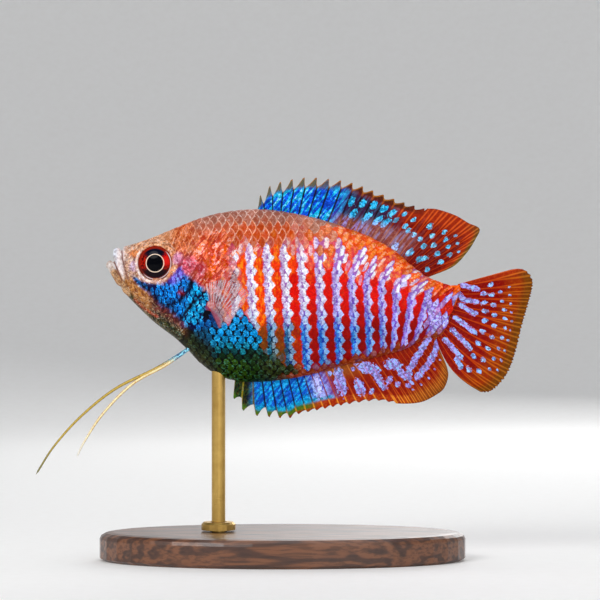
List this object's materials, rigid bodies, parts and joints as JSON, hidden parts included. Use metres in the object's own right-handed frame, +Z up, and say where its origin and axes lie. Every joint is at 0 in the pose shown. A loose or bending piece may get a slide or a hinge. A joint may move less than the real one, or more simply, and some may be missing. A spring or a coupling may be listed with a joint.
{
  "type": "dwarf gourami model",
  "caption": "Life-size still model of a male dwarf gourami with spread fins and long breast feelers, held over an oval base by a slim rod.",
  "frame": {"origin": "centre of the underside of the stand's base, on the shelf it stands on", "axes": "+Z up; the fish faces -X and its left side faces -Y"},
  "size_m": [0.0878, 0.036, 0.0673],
  "materials": {
    "scaly_skin": "wet scales, red and pale blue bars, satin gloss",
    "head_skin": "smooth mottled orange and tan skin, satin gloss",
    "gill_plate": "electric blue scales, glossy",
    "lip_skin": "pale grey-pink skin, satin",
    "eye": "clear high gloss over a red and black iris",
    "back_fin": "ribbed fin skin, blue in front and red behind",
    "belly_fin": "ribbed fin skin, red-orange with blue bars",
    "tail_fin": "ribbed fin skin, dark red with pale blue spots",
    "side_fin": "clear fin skin between fine pale rays",
    "feeler": "smooth orange-gold thread, blue-white at the root",
    "stand_wood": "dark walnut, satin varnish",
    "stand_brass": "satin turned brass"
  },
  "bodies": {
    "root": {"head": "head_skin", "jaw_upper": "lip_skin", "jaw_lower": "lip_skin", "gill_cover_left": "gill_plate", "gill_cover_right": "gill_plate", "eye_left": "eye", "eye_right": "eye", "trunk": "scaly_skin", "tail_stalk": "scaly_skin", "dorsal_fin": "back_fin", "anal_fin": "belly_fin", "caudal_fin": "tail_fin", "pectoral_fin_left": "side_fin", "pectoral_fin_right": "side_fin", "pelvic_feeler_left": "feeler", "pelvic_feeler_right": "feeler", "stand_base": "stand_wood", "stand_rod": "stand_brass", "stand_collar": "stand_brass"}
  },
  "joints": []
}
